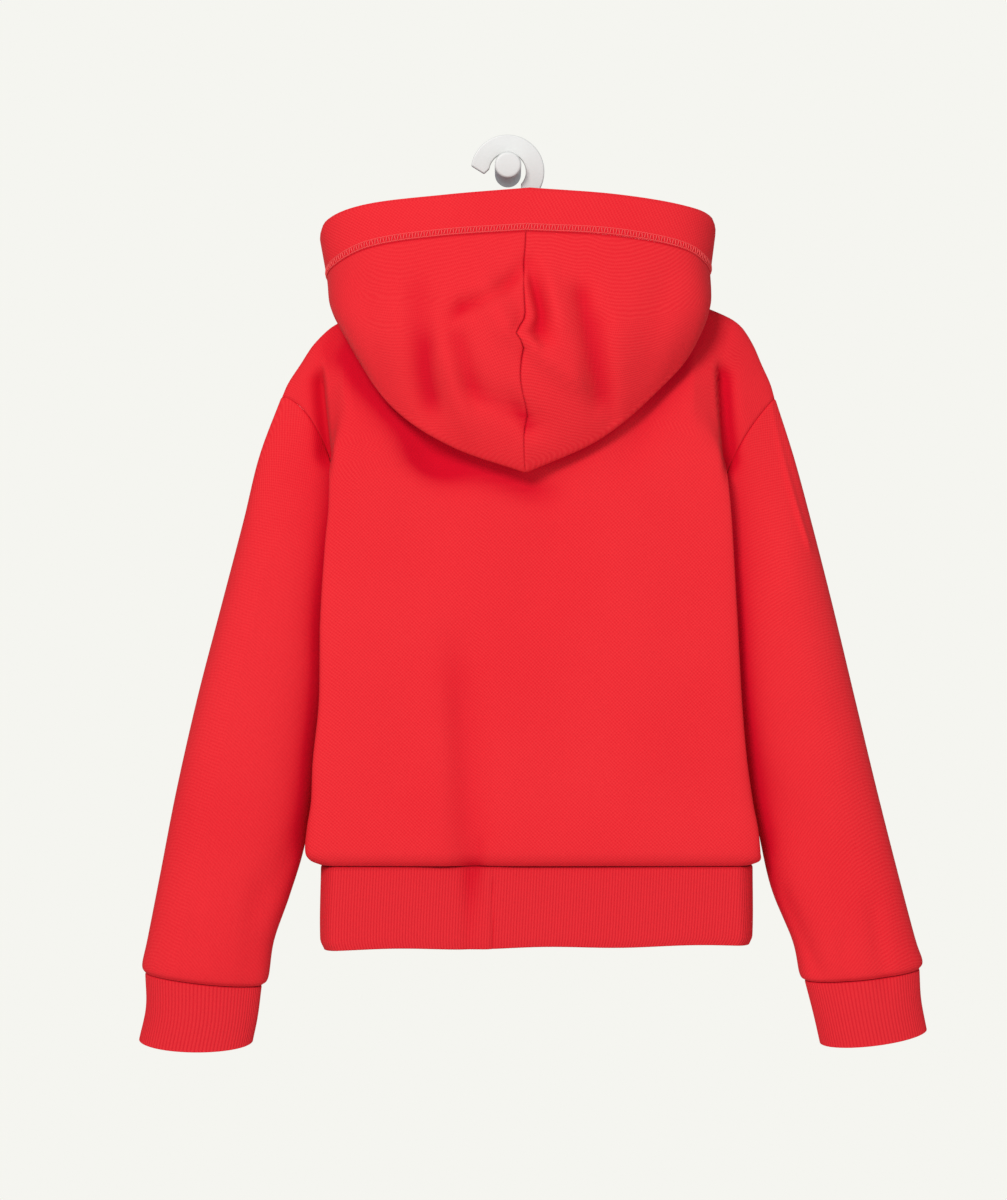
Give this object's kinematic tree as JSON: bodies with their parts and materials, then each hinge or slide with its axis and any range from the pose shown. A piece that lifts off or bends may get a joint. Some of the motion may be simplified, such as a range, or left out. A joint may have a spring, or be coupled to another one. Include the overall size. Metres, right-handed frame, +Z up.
{
  "type": "kids hoodie on a hanger",
  "caption": "Child's plain pullover hoodie with a hood down the back, rib hem and rib cuffs, on a flat hanger hung from a round wall peg.",
  "frame": {"origin": "on the wall peg's axis, at the wall's face", "axes": "+Z up, +Y towards the wall, +X to the right as the garment's back is seen"},
  "size_m": [0.6339, 0.1324, 0.7338],
  "materials": {
    "sweatshirt_knit": "smooth cotton sweatshirt knit",
    "rib_knit": "fine cotton rib",
    "hanger_plastic": "satin white",
    "peg_plastic": "satin white"
  },
  "bodies": {
    "root": {"back_panel": "sweatshirt_knit", "front_panel": "sweatshirt_knit", "sleeve_left": "sweatshirt_knit", "sleeve_right": "sweatshirt_knit", "hood_left": "sweatshirt_knit", "hood_right": "sweatshirt_knit", "hood_band": "sweatshirt_knit", "cuff_left": "rib_knit", "cuff_right": "rib_knit", "hem_rib": "rib_knit", "hanger": "hanger_plastic", "wall_peg": "peg_plastic"}
  },
  "joints": []
}
